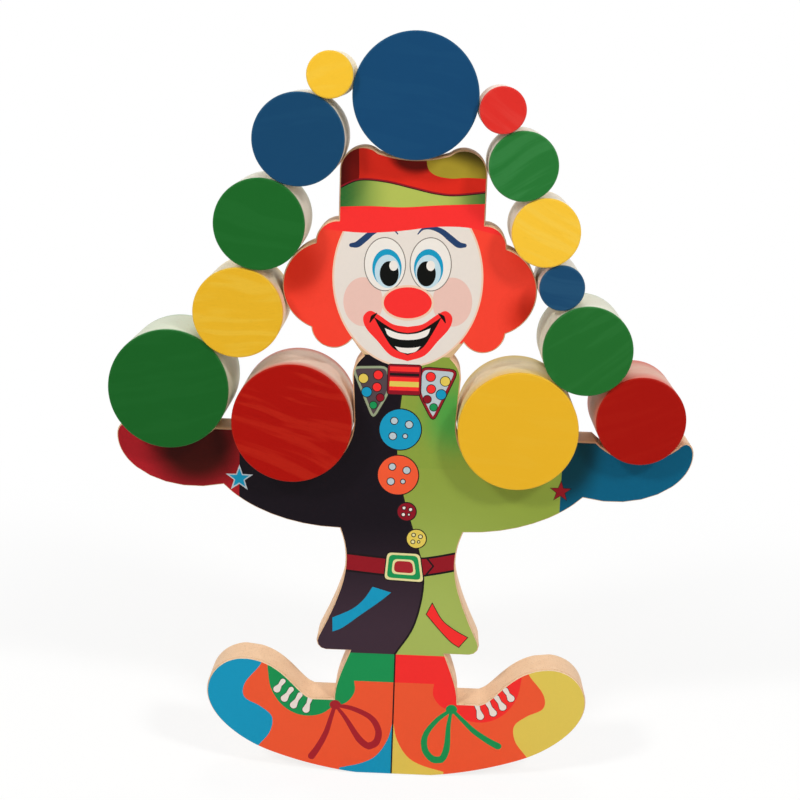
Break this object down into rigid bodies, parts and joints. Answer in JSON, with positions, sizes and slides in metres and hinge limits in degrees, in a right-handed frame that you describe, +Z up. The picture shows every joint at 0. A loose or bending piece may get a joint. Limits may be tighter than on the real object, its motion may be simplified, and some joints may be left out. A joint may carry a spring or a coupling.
{
  "type": "balancing clown toy",
  "caption": "Flat sawn wooden clown on a rocker sole with outstretched arms, printed front, and loose round painted blocks stacked on its hands, beside its head and on its hat.",
  "frame": {"origin": "middle of the flat under the soles, halfway through the board's thickness", "axes": "+Z up the standing figure, +Y from its printed front to its back, +X to the viewer's right when facing the print"},
  "size_m": [0.2642, 0.0445, 0.3463],
  "materials": {
    "bare_wood": "sanded bare pale wood, clear satin sealer",
    "printed_face": "colour print under a satin film, glued to the board's front",
    "blue_paint": "wood with satin dark blue paint on its ends, sides left nearly bare",
    "green_paint": "wood with satin green paint on its ends, sides left nearly bare",
    "red_paint": "wood with satin red paint on its ends, sides left nearly bare",
    "yellow_paint": "wood with satin yellow paint on its ends, sides left nearly bare"
  },
  "bodies": {
    "clown": {"clown_board": "bare_wood", "printed_face": "printed_face"},
    "large_blue": {"block_large_blue": "blue_paint"},
    "large_green": {"block_large_green": "green_paint"},
    "large_red": {"block_large_red": "red_paint"},
    "large_yellow": {"block_large_yellow": "yellow_paint"},
    "medium_blue": {"block_medium_blue": "blue_paint"},
    "medium_green_left": {"block_medium_green_left": "green_paint"},
    "medium_green_right": {"block_medium_green_right": "green_paint"},
    "medium_red": {"block_medium_red": "red_paint"},
    "medium_yellow": {"block_medium_yellow": "yellow_paint"},
    "small_green": {"block_small_green": "green_paint"},
    "small_yellow": {"block_small_yellow": "yellow_paint"},
    "mini_blue": {"block_mini_blue": "blue_paint"},
    "mini_red": {"block_mini_red": "red_paint"},
    "mini_yellow": {"block_mini_yellow": "yellow_paint"}
  },
  "joints": [
    {"name": "large_blue_roll", "type": "hinge", "parent": "clown", "child": "large_blue", "pos_m": [0, 0, 0.3193], "axis": [0, 1, 0], "continuous": true},
    {"name": "large_green_roll", "type": "hinge", "parent": "clown", "child": "large_green", "pos_m": [-0.10598, 0.001, 0.1878], "axis": [0, 1, 0], "continuous": true},
    {"name": "large_red_roll", "type": "hinge", "parent": "clown", "child": "large_red", "pos_m": [-0.0506, -0.0005, 0.1743], "axis": [0, 1, 0], "continuous": true},
    {"name": "large_yellow_roll", "type": "hinge", "parent": "clown", "child": "large_yellow", "pos_m": [0.0506, 0, 0.1743], "axis": [0, 1, 0], "continuous": true},
    {"name": "medium_blue_roll", "type": "hinge", "parent": "clown", "child": "medium_blue", "pos_m": [-0.04954, -0.002, 0.29964], "axis": [0, 1, 0], "continuous": true},
    {"name": "medium_green_left_roll", "type": "hinge", "parent": "clown", "child": "medium_green_left", "pos_m": [-0.06597, -0.0015, 0.26284], "axis": [0, 1, 0], "continuous": true},
    {"name": "medium_green_right_roll", "type": "hinge", "parent": "clown", "child": "medium_green_right", "pos_m": [0.07929, -0.0005, 0.21191], "axis": [0, 1, 0], "continuous": true},
    {"name": "medium_red_roll", "type": "hinge", "parent": "clown", "child": "medium_red", "pos_m": [0.10499, 0.001, 0.18087], "axis": [0, 1, 0], "continuous": true},
    {"name": "medium_yellow_roll", "type": "hinge", "parent": "clown", "child": "medium_yellow", "pos_m": [-0.07503, -0.0005, 0.22357], "axis": [0, 1, 0], "continuous": true},
    {"name": "small_green_roll", "type": "hinge", "parent": "clown", "child": "small_green", "pos_m": [0.04701, -0.002, 0.29144], "axis": [0, 1, 0], "continuous": true},
    {"name": "small_yellow_roll", "type": "hinge", "parent": "clown", "child": "small_yellow", "pos_m": [0.05817, -0.001, 0.26327], "axis": [0, 1, 0], "continuous": true},
    {"name": "mini_blue_roll", "type": "hinge", "parent": "clown", "child": "mini_blue", "pos_m": [0.06651, 0.0005, 0.23938], "axis": [0, 1, 0], "continuous": true},
    {"name": "mini_red_roll", "type": "hinge", "parent": "clown", "child": "mini_red", "pos_m": [0.03701, -0.0035, 0.31468], "axis": [0, 1, 0], "continuous": true},
    {"name": "mini_yellow_roll", "type": "hinge", "parent": "clown", "child": "mini_yellow", "pos_m": [-0.0365, -0.0035, 0.32699], "axis": [0, 1, 0], "continuous": true}
  ]
}
